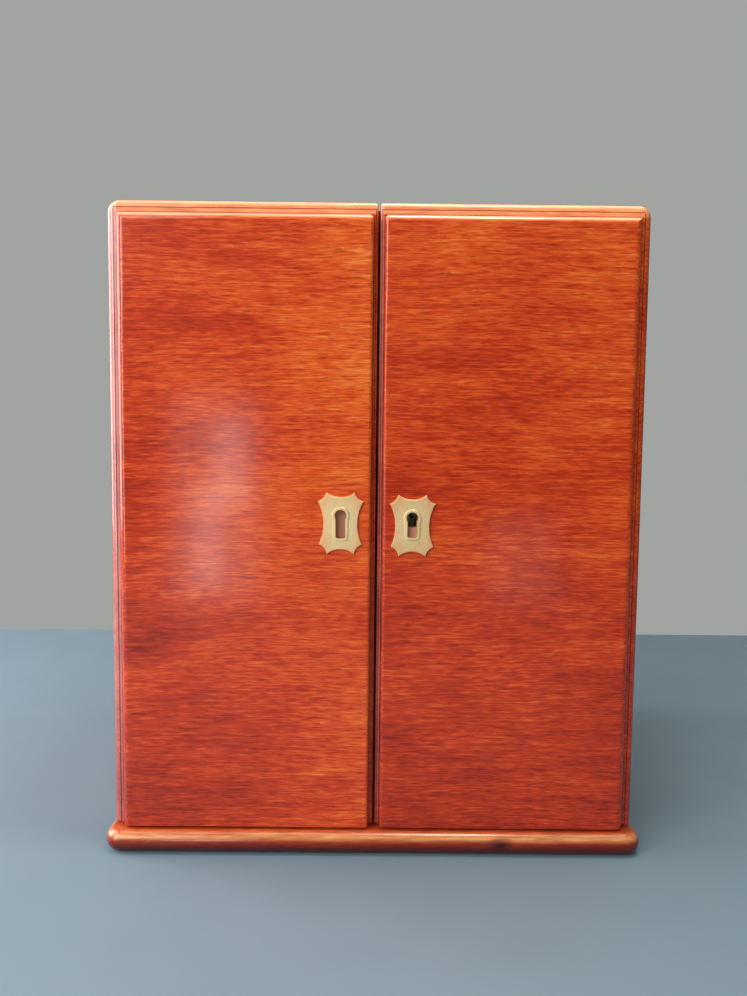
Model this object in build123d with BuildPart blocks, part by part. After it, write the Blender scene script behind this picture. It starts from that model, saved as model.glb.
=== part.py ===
from build123d import *
import math
import os

os.makedirs("parts", exist_ok=True)

# A mahogany table cabinet with two moulded doors, which holds a table stereoscope above a rack
# for stereo cards. Millimetres, +Z up, doors towards -Y, origin at the centre of the underside.

# ---------------------------------------------------------------- driving dimensions
PLINTH_WIDTH, PLINTH_DEPTH, PLINTH_HEIGHT = 281.0, 231.0, 11.5
PLINTH_NOSE, PLINTH_CORNER = 5.4, 9.0

DOOR_OUTER = 137.5  # outer edge of a door, from the middle of the cabinet
DOOR_INNER = 0.5  # meeting edge: the doors stand 1 mm apart
DOOR_BOTTOM, DOOR_TOP = 12.6, 335.3
DOOR_THICKNESS = 19.0
DOOR_FACE = -110.5  # Y of the door fronts
DOOR_BACK = DOOR_FACE + DOOR_THICKNESS

CARCASS_HALF = 136.6
CARCASS_FRONT, CARCASS_BACK, CARCASS_TOP = DOOR_BACK + 0.4, 113.0, 334.6
SIDE, FLOOR, TOP, BACK = 12.0, 10.0, 12.0, 8.0  # board thicknesses
INNER_HALF = CARCASS_HALF - SIDE
FLOOR_TOP = PLINTH_HEIGHT + FLOOR
CEILING = CARCASS_TOP - TOP
BACK_FRONT = CARCASS_BACK - BACK
REBATE = 5.0  # how far the back panel is let into the sides

SHELF_BOTTOM, SHELF = 118.0, 8.0
SHELF_TOP = SHELF_BOTTOM + SHELF
SHELF_FRONT = -78.0
HOUSING = 4.0  # how far the shelf is let into the sides
PARTITION, BAYS = 6.0, 4

# Door moulding, from the face outwards: an ovolo, a flat fillet between two quirks, a round.
OVOLO, OVOLO_MEETING = 4.0, 1.8
FACE_INSET_SIDE, FACE_INSET_TOP, FACE_INSET_MEETING = 6.2, 7.4, 2.4
FILLET_INSET_SIDE, FILLET_INSET_TOP, FILLET_INSET_MEETING = 4.2, 4.6, 1.3
FACE_STEP, FILLET_STEP = 5.0, 0.6
ROUND, ROUND_MEETING = 4.0, 1.5
QUIRK, QUIRK_MEETING, QUIRK_DEPTH = 0.6, 0.4, 0.8
DOOR_CORNER = 6.5

# Butt hinges
HINGE_X, HINGE_Y = DOOR_OUTER + 0.4, DOOR_BACK + 0.2
HINGE_HEIGHTS = (70.0, 280.0)
LEAF_WIDTH, LEAF_HEIGHT, LEAF = 11.0, 38.0, 1.4
BARREL, HINGE_PIN, PLAY = 2.2, 1.1, 0.05  # PLAY: radial clearance of a running fit
LEAF_GAP, WOOD_GAP = 0.3, 0.4
LEAF_SCREWS = (-13.0, 0.0, 13.0)
SCREW_HEAD, SCREW_SHANK, SCREW_LENGTH = 1.9, 0.85, 8.0

# Escutcheons and lock
PLATE_X, PLATE_LEFT_Z, PLATE_RIGHT_Z = 18.3, 173.3, 172.4
PLATE, LIP, LIP_WIDTH = 1.0, 0.5, 1.4
KEYHOLE_R, KEYHOLE_SLOT, KEYHOLE_EYE, KEYHOLE_CORNER = 3.05, 5.0, 3.9, 1.2
KEYHOLE_LEFT_FOOT, KEYHOLE_RIGHT_FOOT = -7.7, -6.1
LOCK_WIDTH, LOCK_HEIGHT, LOCK_DEPTH, LOCK_WALL = 26.0, 38.0, 8.0, 1.2
LOCK_Z = 177.0
BOLT_Z, BOLT_HEIGHT, BOLT_THICK, BOLT_THROW = 170.5, 7.0, 4.0, 5.0
STRIKE_HEIGHT, STRIKE_THICK = 26.0, 1.2

LOCK_TOP, LOCK_FOOT = LOCK_Z + LOCK_HEIGHT / 2, LOCK_Z - LOCK_HEIGHT / 2
LOCK_END = DOOR_INNER + LOCK_WIDTH
LOCK_FRONT = DOOR_BACK - LOCK_DEPTH
BOLT_Y = LOCK_FRONT + LOCK_WALL + 0.6 + BOLT_THICK / 2
STRIKE_LOW, STRIKE_HIGH = BOLT_Z - STRIKE_HEIGHT / 2, BOLT_Z + STRIKE_HEIGHT / 2
TUMBLER_X, TUMBLER_Z = LOCK_END - 4.5, LOCK_Z + 9.0
BEHIND_DOOR = Plane(origin=(0, DOOR_BACK, 0), x_dir=(1, 0, 0), z_dir=(0, 1, 0))  # its y is -Z
CAP_SCREWS = [(x, z) for x in (DOOR_INNER + 4.0, LOCK_END - 4.0) for z in (LOCK_FOOT + 3.6, LOCK_TOP - 3.6)]
CAP_SCREW_POINTS = [(x, -z) for x, z in CAP_SCREWS]
PLATE_ARCS = [  # the right half of a keyhole plate's outline: start, middle and end of each hollow
    ((0.0, 13.3), (3.9, 13.9), (7.2, 15.8)),
    ((7.2, 15.8), (8.7, 12.9), (11.6, 11.2)),
    ((11.6, 11.2), (8.6, 0.3), (10.9, -10.8)),
    ((10.9, -10.8), (8.3, -12.6), (6.9, -15.8)),
    ((6.9, -15.8), (3.7, -13.9), (0.0, -13.2)),
]

# Slide bolts on the left door
SLIDE_X, SLIDE_R, SLIDE_STAND = -12.0, 1.8, 3.8
SLIDE_PLATE, SLIDE_PLATE_WIDTH, SLIDE_PLATE_HEIGHT = 1.2, 12.0, 42.0
SLIDE_LENGTH, KEEPER = 46.0, 1.2
SLIDE_Y = DOOR_BACK + SLIDE_PLATE + SLIDE_STAND
UPPER_PLATE_Z, LOWER_PLATE_Z = CEILING - 4 - SLIDE_PLATE_HEIGHT / 2, FLOOR_TOP + 4 + SLIDE_PLATE_HEIGHT / 2

# Stereoscope
PIVOT_Y, PIVOT_Z = 12.0, 214.0
BASE_TOP = SHELF_TOP + 9.0
BASE_HALF, BASE_FRONT, BASE_BACK = 104.0, -60.0, 94.0
BODY_HALF, WALL, BODY_RISE = 97.0, 6.0, 52.0
BODY_FRONT, BODY_BACK = PIVOT_Y - 55.0, PIVOT_Y + 60.0
BODY_LOW, BODY_HIGH = PIVOT_Z - BODY_RISE, PIVOT_Z + BODY_RISE
IN_HALF, IN_LOW, IN_HIGH = BODY_HALF - WALL, BODY_LOW + WALL, BODY_HIGH - WALL
CARD_Y, CARD_GAP = PIVOT_Y + 50.0, 2.6
BRACKET_X, BRACKET, BRACKET_FOOT = BODY_HALF + 1.5, 3.0, 2.5
BRACKET_SCREWS = [(x, PIVOT_Y + dy) for x in (-90.0, 90.0) for dy in (-14.0, 14.0)]
STUD = 3.0
EYE_SPACING, LENS_R, TUBE_R, FLANGE_R = 66.0, 18.3, 21.0, 25.0
LENS_BOARD, LENS_FRONT, SLIDING_GAP = 8.0, BODY_FRONT + 3.0, 0.4
SHAFT_Y, SHAFT_Z, SHAFT_R = PIVOT_Y - 33.0, PIVOT_Z - 40.5, 1.5
MODULE, TEETH = 0.8, 10
PITCH, PITCH_R = math.pi * MODULE, MODULE * TEETH / 2
PITCH_Z = SHAFT_Z + PITCH_R
TOOTH = 0.40 * PITCH  # tooth width at the pitch line: under half the pitch, which leaves backlash
RACK_X, RACK_WIDTH, RACK_BACK = 84.0, 5.0, PIVOT_Y - 11.0
FLAP_Y, FLAP_Z, FLAP_BARREL = PIVOT_Y - 37.0, BODY_HIGH + 2.2, 1.9
FLAP_HALF, FLAP_LENGTH, FLAP, FLAP_LOW = 75.0, 52.0, 5.0, BODY_HIGH + 0.3
APERTURE_HALF, APERTURE_FRONT, APERTURE_BACK = 70.0, PIVOT_Y - 32.0, PIVOT_Y + 14.5
LUG_X, LUG = 52.0, 14.0


def facing(y):
    """The plane at that Y which faces the front: its x is +X and its y is +Z."""
    return Plane.XZ.offset(-y)


def outward(x):
    """The plane at that X which faces +X: its x is +Y and its y is +Z."""
    return Plane.YZ.offset(x)


def block(x0, x1, y0, y1, z0, z1, mode=Mode.ADD):
    """A rectangular solid between those coordinates, in the open part."""
    with Locations(((x0 + x1) / 2, (y0 + y1) / 2, (z0 + z1) / 2)):
        Box(abs(x1 - x0), abs(y1 - y0), abs(z1 - z0), mode=mode)


def rod(axis, centre, radius, length, mode=Mode.ADD):
    """A cylinder centred at that point, along X, Y or Z."""
    turn = {"X": (0, 90, 0), "Y": (90, 0, 0), "Z": (0, 0, 0)}[axis]
    with Locations(Location(centre, turn)):
        Cylinder(radius, length, mode=mode)


def screws(plane, points, head, shank, length):
    """Countersunk screws with slotted heads, in the open part: heads level with the plane."""
    with Locations(plane):
        with Locations([(x, y, -head / 2) for x, y in points]):
            Cone(shank, head, head)
        with Locations([(x, y, -(head + length) / 2) for x, y in points]):
            Cylinder(shank, length - head)
        with Locations([(x, y, 0) for x, y in points]):
            Box(3 * head, 0.35, 0.7, mode=Mode.SUBTRACT)


def screw_holes(plane, points, head, shank, length):
    """Cuts the seats of the same screws out of the open part."""
    with Locations(plane):
        with Locations([(x, y, -head / 2) for x, y in points]):
            Cone(shank, head, head, mode=Mode.SUBTRACT)
        with Locations([(x, y, -length / 2) for x, y in points]):
            Cylinder(shank, length, mode=Mode.SUBTRACT)


def keeper_seat(z, up):
    """Cuts the seat of a slide bolt's keeper, and the hole behind it, at that height."""
    block(SLIDE_X - 6, SLIDE_X + 6, CARCASS_FRONT + 0.8, CARCASS_FRONT + 9.8, z, z + up * KEEPER, Mode.SUBTRACT)
    rod("Z", (SLIDE_X, SLIDE_Y, z + up * 4.5), SLIDE_R + 0.4, 9, Mode.SUBTRACT)


def hinge_leaf(door_side, zc):
    """One leaf of a right-hand hinge: the door's has the middle knuckle, the frame's the other two."""
    near = HINGE_Y + (-LEAF_GAP if door_side else LEAF_GAP) / 2
    far = near + (-LEAF if door_side else LEAF)
    third = LEAF_HEIGHT / 3
    spans = [(-third / 2, third / 2)] if door_side else [(-1.5 * third, -third / 2), (third / 2, 1.5 * third)]
    block(HINGE_X - LEAF_WIDTH, HINGE_X - BARREL - 0.5, near, far, zc - LEAF_HEIGHT / 2, zc + LEAF_HEIGHT / 2)
    for low, high in spans:
        low, high = zc + low + LEAF_GAP / 2, zc + high - LEAF_GAP / 2
        block(HINGE_X - BARREL - 0.6, HINGE_X, near, far, low, high)
        rod("Z", (HINGE_X, HINGE_Y, (low + high) / 2), BARREL, high - low)
        rod("Z", (HINGE_X, HINGE_Y, (low + high) / 2), HINGE_PIN + (PLAY if door_side else 0), high - low + 1,
            Mode.SUBTRACT)
    screw_holes(*leaf_screws(door_side, zc))


def leaf_screws(door_side, zc):
    """Where a leaf's screws go: in its flat part, with their heads towards the other leaf."""
    inset = HINGE_X - LEAF_WIDTH + 4.2
    if door_side:
        plane = Plane(origin=(0, HINGE_Y - LEAF_GAP / 2, 0), x_dir=(1, 0, 0), z_dir=(0, 1, 0))
        points = [(inset, -(zc + dz)) for dz in LEAF_SCREWS]
    else:
        plane = facing(HINGE_Y + LEAF_GAP / 2)
        points = [(inset, zc + dz) for dz in LEAF_SCREWS]
    return plane, points, SCREW_HEAD, SCREW_SHANK, SCREW_LENGTH


def hinge_seats(door_side):
    """Cuts the seats of both right-hand hinges, and of their screws, into the open part."""
    for zc in HINGE_HEIGHTS:
        far = HINGE_Y + (-LEAF_GAP / 2 - LEAF if door_side else LEAF_GAP / 2 + LEAF)
        low, high = zc - LEAF_HEIGHT / 2, zc + LEAF_HEIGHT / 2
        block(HINGE_X - LEAF_WIDTH, HINGE_X + 1, HINGE_Y, far, low, high, Mode.SUBTRACT)
        rod("Z", (HINGE_X, HINGE_Y, zc), BARREL + WOOD_GAP, LEAF_HEIGHT, Mode.SUBTRACT)
        screw_holes(*leaf_screws(door_side, zc))


def moulding_step(inset_side, inset_top, inset_meeting, y_back, thickness):
    """One step of the right door's moulding: a rectangle inset from the door's outline."""
    x0, x1 = DOOR_INNER + inset_meeting, DOOR_OUTER - inset_side
    block(x0, x1, y_back - thickness, y_back, DOOR_BOTTOM, DOOR_TOP - inset_top)


def quirk(inset_side, inset_top, inset_meeting, y):
    """Sinks the right door inside that step and a quirk round it, before the step itself is added."""
    x0, x1 = DOOR_INNER + inset_meeting - QUIRK_MEETING, DOOR_OUTER - inset_side + QUIRK
    block(x0, x1, y - 5, y + QUIRK_DEPTH, DOOR_BOTTOM - 1, DOOR_TOP - inset_top + QUIRK, Mode.SUBTRACT)


def on_plate(x, z, y):
    """A plane that faces the front at that depth, with its origin at a keyhole plate's centre."""
    return Plane(origin=(x, y, z), x_dir=(1, 0, 0), z_dir=(0, -1, 0))


def keyhole(foot, grow=0.0):
    """A keyhole's outline in the open sketch: a round eye above a slot with a square foot."""
    low, high = foot - grow, KEYHOLE_EYE + KEYHOLE_CORNER
    with Locations((0, KEYHOLE_EYE)):
        Circle(KEYHOLE_R + grow)
    with Locations((0, (low + high) / 2)):
        RectangleRounded(KEYHOLE_SLOT + 2 * grow, high - low, KEYHOLE_CORNER + grow)


def keyhole_plate(x, z, foot):
    """A keyhole plate with eight points, hollow sides, and a raised lip round the keyhole."""
    with BuildSketch(on_plate(x, z, DOOR_FACE)) as outline:
        with BuildLine():
            for start, middle, end in PLATE_ARCS:
                ThreePointArc(start, middle, end)
                ThreePointArc((-start[0], start[1]), (-middle[0], middle[1]), (-end[0], end[1]))
        make_face()
    with BuildSketch(on_plate(x, z, DOOR_FACE - PLATE)) as lip:
        keyhole(foot, LIP_WIDTH)
    with BuildSketch(on_plate(x, z, DOOR_FACE - PLATE - LIP)) as hole:
        keyhole(foot)
    plate = extrude(outline.sketch, amount=PLATE)
    chamfer(plate.faces().sort_by(Axis.Y)[0].edges(), 0.25)
    extrude(lip.sketch, amount=LIP)
    chamfer(faces().sort_by(Axis.Y)[0].edges(), 0.25)
    extrude(hole.sketch, amount=-(PLATE + LIP), mode=Mode.SUBTRACT)


def slide_screws(zc):
    """The four screws of a slide bolt's plate."""
    plane = Plane(origin=(0, DOOR_BACK + SLIDE_PLATE, 0), x_dir=(1, 0, 0), z_dir=(0, 1, 0))
    return plane, [(SLIDE_X + dx, -(zc + dz)) for dx in (-4.3, 4.3) for dz in (-9.0, 9.0)], 1.5, 0.7, 7.0


def slide_bolt(zc, up):
    """A round slide bolt in its plate at that height, with a turned knob."""
    middle = zc + up * (SLIDE_LENGTH / 2 - SLIDE_PLATE_HEIGHT / 2 - 2.0)
    rod("Z", (SLIDE_X, SLIDE_Y, middle), SLIDE_R - 0.5, SLIDE_LENGTH)
    rod("Z", (SLIDE_X, SLIDE_Y, middle), SLIDE_R, SLIDE_LENGTH - 1.2)
    rod("Y", (SLIDE_X, SLIDE_Y + SLIDE_R + 1.5, zc - 5.5 * up), 1.3, 3.6)
    with Locations((SLIDE_X, SLIDE_Y + SLIDE_R + 3.6, zc - 5.5 * up)):
        Sphere(2.4)


def fluted_knob(x0, radius, width, bore, y, z, flutes):
    """A turned knob on a shaft along X, with a fluted rim, a boss behind and a domed cap."""
    with BuildSketch(outward(x0)) as rim:
        with Locations((y, z)):
            Circle(radius)
            with PolarLocations(radius + 0.15, flutes):
                Circle(0.55, mode=Mode.SUBTRACT)
    extrude(rim.sketch, amount=width)
    with Locations(Location((x0 + width + 0.6, y, z), (0, 90, 0))):
        Cone(radius * 0.72, radius * 0.55, 1.2)
    rod("X", (x0 - 0.6, y, z), radius * 0.5, 1.2)
    rod("X", (x0, y, z), bore, 2 * width + 10, Mode.SUBTRACT)


def eye_plane(s):
    """A plane through one optical axis: its x is the radius, its y the distance in front of the board."""
    return Plane(origin=(s * EYE_SPACING / 2, LENS_FRONT, PIVOT_Z), x_dir=(1, 0, 0), z_dir=(0, 0, -1))


def eye_axis(s):
    """One optical axis."""
    return Axis((s * EYE_SPACING / 2, LENS_FRONT, PIVOT_Z), (0, -1, 0))


# ---------------------------------------------------------------- cabinet boards
PLINTH_SCREWS = [(x, y) for x in (-100.0, 0.0, 100.0) for y in (-70.0, 90.0)]
UNDERSIDE = Plane.XY.rotated((180, 0, 0))  # its x is +X and its y is -Y
UNDERSIDE_SCREWS = [(x, -y) for x, y in PLINTH_SCREWS]

with BuildPart() as plinth:
    with BuildSketch():
        RectangleRounded(PLINTH_WIDTH, PLINTH_DEPTH, PLINTH_CORNER)
    extrude(amount=PLINTH_HEIGHT)
    fillet(plinth.faces().sort_by(Axis.Z)[-1].edges(), PLINTH_NOSE)
    fillet(plinth.faces().sort_by(Axis.Z)[0].edges(), PLINTH_NOSE)
    screw_holes(UNDERSIDE, UNDERSIDE_SCREWS, 3.6, 1.8, PLINTH_HEIGHT + 1)

with BuildPart() as plinth_screws:
    screws(UNDERSIDE, UNDERSIDE_SCREWS, 3.6, 1.8, 19.0)

with BuildPart() as floor_board:
    block(-INNER_HALF, INNER_HALF, CARCASS_FRONT, BACK_FRONT, PLINTH_HEIGHT, FLOOR_TOP)
    for x, y in PLINTH_SCREWS:
        rod("Z", (x, y, PLINTH_HEIGHT + 4), 1.8, 8, Mode.SUBTRACT)
    keeper_seat(FLOOR_TOP, -1)

with BuildPart() as top_board:
    block(-CARCASS_HALF, CARCASS_HALF, CARCASS_FRONT, CARCASS_BACK, CEILING, CARCASS_TOP)
    upper = top_board.faces().sort_by(Axis.Z)[-1].edges()
    fillet(upper.sort_by(Axis.Y)[1:], 3.5)
    keeper_seat(CEILING, 1)

with BuildPart() as back_panel:
    half = INNER_HALF + REBATE
    block(-half, half, BACK_FRONT, CARCASS_BACK, PLINTH_HEIGHT, CEILING)

with BuildPart() as shelf:
    half = INNER_HALF + HOUSING
    block(-half, half, SHELF_FRONT, BACK_FRONT, SHELF_BOTTOM, SHELF_TOP)
    fillet(shelf.faces().sort_by(Axis.Y)[0].edges().filter_by(Axis.X), 1.5)

BAY = (2 * INNER_HALF - (BAYS - 1) * PARTITION) / BAYS
with BuildPart() as rack_partitions:
    for n in range(1, BAYS):
        x = -INNER_HALF + n * (BAY + PARTITION) - PARTITION / 2
        block(x - PARTITION / 2, x + PARTITION / 2, SHELF_FRONT, BACK_FRONT, FLOOR_TOP, SHELF_BOTTOM)
    fillet(rack_partitions.edges().filter_by(Axis.Z).group_by(Axis.Y)[0], 1.5)

with BuildPart() as right_side:
    block(INNER_HALF, CARCASS_HALF, CARCASS_FRONT, CARCASS_BACK, PLINTH_HEIGHT, CEILING)
    block(INNER_HALF, INNER_HALF + REBATE, BACK_FRONT, CARCASS_BACK, PLINTH_HEIGHT, CEILING, Mode.SUBTRACT)
    block(INNER_HALF, INNER_HALF + HOUSING, SHELF_FRONT, BACK_FRONT, SHELF_BOTTOM, SHELF_TOP, Mode.SUBTRACT)
    hinge_seats(False)

with BuildPart() as left_side:
    mirror(right_side.part, about=Plane.YZ)

# ---------------------------------------------------------------- hinges
with BuildPart() as frame_hinge_leaves:
    for zc in HINGE_HEIGHTS:
        hinge_leaf(False, zc)
    mirror(about=Plane.YZ)

with BuildPart() as frame_hinge_screws:
    for zc in HINGE_HEIGHTS:
        screws(*leaf_screws(False, zc))
    mirror(about=Plane.YZ)

with BuildPart() as hinge_pins:
    for zc in HINGE_HEIGHTS:
        rod("Z", (HINGE_X, HINGE_Y, zc), HINGE_PIN, LEAF_HEIGHT)
    mirror(about=Plane.YZ)

with BuildPart() as right_door_leaves:
    for zc in HINGE_HEIGHTS:
        hinge_leaf(True, zc)

with BuildPart() as left_door_leaves:
    mirror(right_door_leaves.part, about=Plane.YZ)

with BuildPart() as right_door_screws:
    for zc in HINGE_HEIGHTS:
        screws(*leaf_screws(True, zc))

with BuildPart() as left_door_screws:
    mirror(right_door_screws.part, about=Plane.YZ)

# ---------------------------------------------------------------- doors
SLAB = DOOR_THICKNESS - FACE_STEP - FILLET_STEP
with BuildPart() as slab:
    with BuildSketch(facing(DOOR_BACK)) as outline:
        with Locations(((DOOR_INNER + DOOR_OUTER) / 2, (DOOR_BOTTOM + DOOR_TOP) / 2)):
            Rectangle(DOOR_OUTER - DOOR_INNER, DOOR_TOP - DOOR_BOTTOM)
        fillet(outline.vertices().group_by(Axis.Y)[-1].sort_by(Axis.X)[-1], DOOR_CORNER)
    extrude(amount=SLAB)
    front = slab.faces().sort_by(Axis.Y)[0]
    fillet([e for e in front.edges() if e.center().X > DOOR_INNER + 1 and e.center().Z > DOOR_BOTTOM + 1], ROUND)
    fillet(slab.edges().filter_by(Axis.Z).group_by(Axis.X)[0].sort_by(Axis.Y)[0], ROUND_MEETING)

with BuildPart() as raised_face:
    moulding_step(FACE_INSET_SIDE, FACE_INSET_TOP, FACE_INSET_MEETING, DOOR_FACE + FACE_STEP + 1, FACE_STEP + 1)
    edges = raised_face.faces().sort_by(Axis.Y)[0].edges()
    fillet([edges.sort_by(Axis.X)[-1], edges.sort_by(Axis.Z)[-1]], OVOLO)
    fillet(raised_face.faces().sort_by(Axis.Y)[0].edges().sort_by(Axis.X)[0], OVOLO_MEETING)
    fillet(raised_face.faces().sort_by(Axis.Y)[0].edges().sort_by(Axis.Z)[0], 0.8)

with BuildPart() as door_blank:
    add(slab.part)
    y_round = DOOR_BACK - SLAB
    y_fillet = y_round - FILLET_STEP
    quirk(FILLET_INSET_SIDE, FILLET_INSET_TOP, FILLET_INSET_MEETING, y_round)
    y_back = y_round + QUIRK_DEPTH + 0.5
    moulding_step(FILLET_INSET_SIDE, FILLET_INSET_TOP, FILLET_INSET_MEETING, y_back, y_back - y_fillet)
    quirk(FACE_INSET_SIDE, FACE_INSET_TOP, FACE_INSET_MEETING, y_fillet)
    add(raised_face.part)
    hinge_seats(True)

with BuildPart() as right_door:
    add(door_blank.part)
    block(0, LOCK_END, LOCK_FRONT, DOOR_BACK, LOCK_FOOT, LOCK_TOP, Mode.SUBTRACT)
    with BuildSketch(on_plate(PLATE_X, PLATE_RIGHT_Z, DOOR_FACE)):
        keyhole(KEYHOLE_RIGHT_FOOT)
    extrude(amount=-0.9, mode=Mode.SUBTRACT)
    with BuildSketch(on_plate(PLATE_X, PLATE_RIGHT_Z, DOOR_FACE)):
        keyhole(-1.2, -0.3)
    extrude(amount=-DOOR_THICKNESS, mode=Mode.SUBTRACT)

with BuildPart() as left_door:
    mirror(door_blank.part, about=Plane.YZ)
    block(-DOOR_INNER - STRIKE_THICK, 0, BOLT_Y - 4.5, BOLT_Y + 4.5, STRIKE_LOW, STRIKE_HIGH, Mode.SUBTRACT)
    block(-DOOR_INNER - 8, 0, BOLT_Y - 2.6, BOLT_Y + 2.6, BOLT_Z - 4.2, BOLT_Z + 4.2, Mode.SUBTRACT)
    with BuildSketch(on_plate(-PLATE_X, PLATE_LEFT_Z, DOOR_FACE)):
        keyhole(KEYHOLE_LEFT_FOOT)
    extrude(amount=-2.2, mode=Mode.SUBTRACT)
    for zc in (UPPER_PLATE_Z, LOWER_PLATE_Z):
        screw_holes(*slide_screws(zc))

# ---------------------------------------------------------------- escutcheons and lock
with BuildPart() as left_escutcheon:
    keyhole_plate(-PLATE_X, PLATE_LEFT_Z, KEYHOLE_LEFT_FOOT)

with BuildPart() as right_escutcheon:
    keyhole_plate(PLATE_X, PLATE_RIGHT_Z, KEYHOLE_RIGHT_FOOT)

with BuildPart() as lock_case:
    block(DOOR_INNER, LOCK_END, LOCK_FRONT, DOOR_BACK - 1.0, LOCK_FOOT, LOCK_TOP)
    block(
        DOOR_INNER + 1.5, LOCK_END - LOCK_WALL, LOCK_FRONT + LOCK_WALL, DOOR_BACK,
        LOCK_FOOT + LOCK_WALL, LOCK_TOP - LOCK_WALL, Mode.SUBTRACT,
    )
    for x, z in CAP_SCREWS:
        block(x - 2.8, x + 2.8, LOCK_FRONT, DOOR_BACK - 1.0, z - 2.6, z + 2.6)
    with BuildSketch(on_plate(PLATE_X, PLATE_RIGHT_Z, LOCK_FRONT)):
        keyhole(KEYHOLE_RIGHT_FOOT, -0.3)
    extrude(amount=-2 * LOCK_WALL, both=True, mode=Mode.SUBTRACT)
    half, y0, y1 = BOLT_HEIGHT / 2 + 0.1, BOLT_Y - BOLT_THICK / 2 - 0.1, BOLT_Y + BOLT_THICK / 2 + 0.1
    block(DOOR_INNER - 1, DOOR_INNER + 3, y0, y1, BOLT_Z - half, BOLT_Z + half, Mode.SUBTRACT)
    screw_holes(BEHIND_DOOR, CAP_SCREW_POINTS, 1.6, 0.8, 6.5)

with BuildPart() as lock_cap:
    block(DOOR_INNER, LOCK_END, DOOR_BACK - 1.0, DOOR_BACK, LOCK_FOOT, LOCK_TOP)
    rod("Y", (PLATE_X, DOOR_BACK - 6.5, PLATE_RIGHT_Z + KEYHOLE_EYE), 1.0, 11.5)
    post = DOOR_BACK - 0.5 - LOCK_FRONT - LOCK_WALL
    rod("Y", (TUMBLER_X, DOOR_BACK - 0.5 - post / 2, TUMBLER_Z), 0.85, post)
    screw_holes(BEHIND_DOOR, CAP_SCREW_POINTS, 1.6, 0.8, 6.5)

with BuildPart() as lock_screws:
    screws(BEHIND_DOOR, CAP_SCREW_POINTS, 1.6, 0.8, 6.5)

with BuildPart() as lock_bolt:
    y0, y1 = BOLT_Y - BOLT_THICK / 2, BOLT_Y + BOLT_THICK / 2
    block(DOOR_INNER + 0.2, DOOR_INNER + 19, y0, y1, BOLT_Z - BOLT_HEIGHT / 2, BOLT_Z + BOLT_HEIGHT / 2)
    rod("Y", (PLATE_X - 2.0, BOLT_Y, BOLT_Z + BOLT_HEIGHT / 2 + 0.6), 3.2, BOLT_THICK + 1, Mode.SUBTRACT)
    fillet(lock_bolt.edges().filter_by(Axis.Y).group_by(Axis.X)[0], 0.5)

with BuildPart() as lock_tumbler:
    with BuildSketch(facing(BOLT_Y + 0.6)):
        with BuildLine():
            right, left = TUMBLER_X + 1.6, DOOR_INNER + 7.5
            bolt_top = BOLT_Z + BOLT_HEIGHT / 2 + 0.4
            Polyline(
                (right, TUMBLER_Z + 1.6), (left, TUMBLER_Z + 1.6), (left, bolt_top), (left + 3, bolt_top),
                (left + 4, TUMBLER_Z - 1.6), (right, TUMBLER_Z - 1.6), close=True,
            )
        make_face()
    extrude(amount=1.2)
    rod("Y", (TUMBLER_X, BOLT_Y, TUMBLER_Z), 0.9, 6, Mode.SUBTRACT)

with BuildPart() as strike_plate:
    block(-DOOR_INNER - STRIKE_THICK, -DOOR_INNER, BOLT_Y - 4.5, BOLT_Y + 4.5, STRIKE_LOW, STRIKE_HIGH)
    block(-DOOR_INNER - 2, 0, BOLT_Y - 2.6, BOLT_Y + 2.6, BOLT_Z - 4.2, BOLT_Z + 4.2, Mode.SUBTRACT)

# ---------------------------------------------------------------- slide bolts of the left door
with BuildPart() as slide_bolt_plates:
    half, rise = SLIDE_PLATE_WIDTH / 2, SLIDE_PLATE_HEIGHT / 2
    for zc in (UPPER_PLATE_Z, LOWER_PLATE_Z):
        block(SLIDE_X - half, SLIDE_X + half, DOOR_BACK, DOOR_BACK + SLIDE_PLATE, zc - rise, zc + rise)
        for z in (zc - rise + 4, zc + rise - 4):
            block(SLIDE_X - 3.2, SLIDE_X + 3.2, DOOR_BACK + 0.5, SLIDE_Y + SLIDE_R + 1.0, z - 3, z + 3)
    fillet(slide_bolt_plates.edges().filter_by(Axis.Z).group_by(Axis.Y)[-1], 1.4)
    for zc in (UPPER_PLATE_Z, LOWER_PLATE_Z):
        rod("Z", (SLIDE_X, SLIDE_Y, zc), SLIDE_R + PLAY, SLIDE_PLATE_HEIGHT + 2, Mode.SUBTRACT)
        screw_holes(*slide_screws(zc))

with BuildPart() as slide_bolt_screws:
    for zc in (UPPER_PLATE_Z, LOWER_PLATE_Z):
        screws(*slide_screws(zc))

with BuildPart() as upper_slide_bolt:
    slide_bolt(UPPER_PLATE_Z, 1)

with BuildPart() as lower_slide_bolt:
    slide_bolt(LOWER_PLATE_Z, -1)

with BuildPart() as bolt_keepers:
    for z0 in (CEILING, FLOOR_TOP - KEEPER):
        block(SLIDE_X - 6, SLIDE_X + 6, CARCASS_FRONT + 0.8, CARCASS_FRONT + 9.8, z0, z0 + KEEPER)
    rod("Z", (SLIDE_X, SLIDE_Y, CARCASS_TOP / 2), SLIDE_R + 0.3, CARCASS_TOP, Mode.SUBTRACT)

# ---------------------------------------------------------------- stereoscope: base and brackets
with BuildPart() as viewer_base:
    block(-BASE_HALF, BASE_HALF, BASE_FRONT, BASE_BACK, SHELF_TOP, BASE_TOP)
    fillet(viewer_base.edges().filter_by(Axis.Z), 4)
    fillet(viewer_base.faces().sort_by(Axis.Z)[-1].edges(), 3)
    for x, y in BRACKET_SCREWS:
        rod("Z", (x, y, BASE_TOP - 3), 1.2, 6, Mode.SUBTRACT)

with BuildPart() as base_guides:
    for s in (-1, 1):
        block(s * (BASE_HALF + 0.5), s * (BASE_HALF + 6.5), BASE_FRONT, BASE_BACK, SHELF_TOP, SHELF_TOP + 6)

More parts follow.
